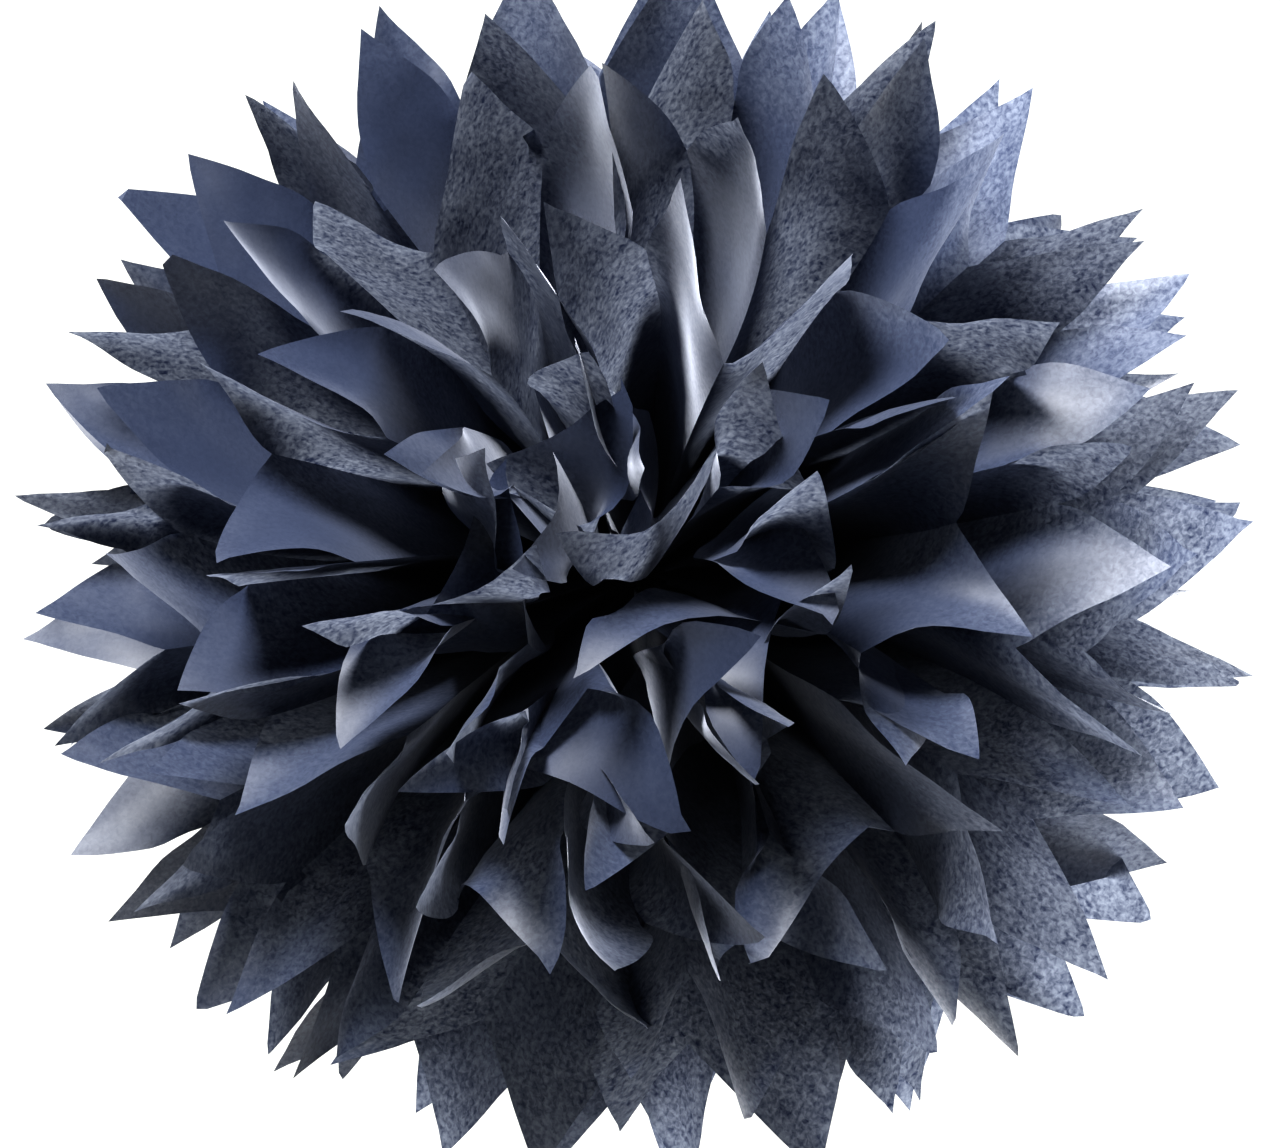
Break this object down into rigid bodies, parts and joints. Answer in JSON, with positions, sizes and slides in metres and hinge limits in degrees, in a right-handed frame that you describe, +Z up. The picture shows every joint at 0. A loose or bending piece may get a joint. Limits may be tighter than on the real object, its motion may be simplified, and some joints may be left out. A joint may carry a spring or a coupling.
{
  "type": "tissue paper pom pom",
  "caption": "Hanging party ball of folded tissue paper: pleated layers tied round the middle with wire, ends cut to points and opened into a round flower.",
  "frame": {"origin": "the middle of the wire tie, which is the middle of the ball", "axes": "+Z up as it hangs, -Y out of the middle of the flower that faces the viewer, X along the folded strip"},
  "size_m": [0.5047, 0.4943, 0.5039],
  "materials": {
    "tissue_paper": "matte, translucent, navy blue",
    "soft_wire": "matte green floral wire"
  },
  "bodies": {
    "root": {"front_sheet_1": "tissue_paper", "front_sheet_2": "tissue_paper", "front_sheet_3": "tissue_paper", "front_sheet_4": "tissue_paper", "front_sheet_5": "tissue_paper", "back_sheet_1": "tissue_paper", "back_sheet_2": "tissue_paper", "back_sheet_3": "tissue_paper", "back_sheet_4": "tissue_paper", "back_sheet_5": "tissue_paper", "wire_tie": "soft_wire"}
  },
  "joints": []
}
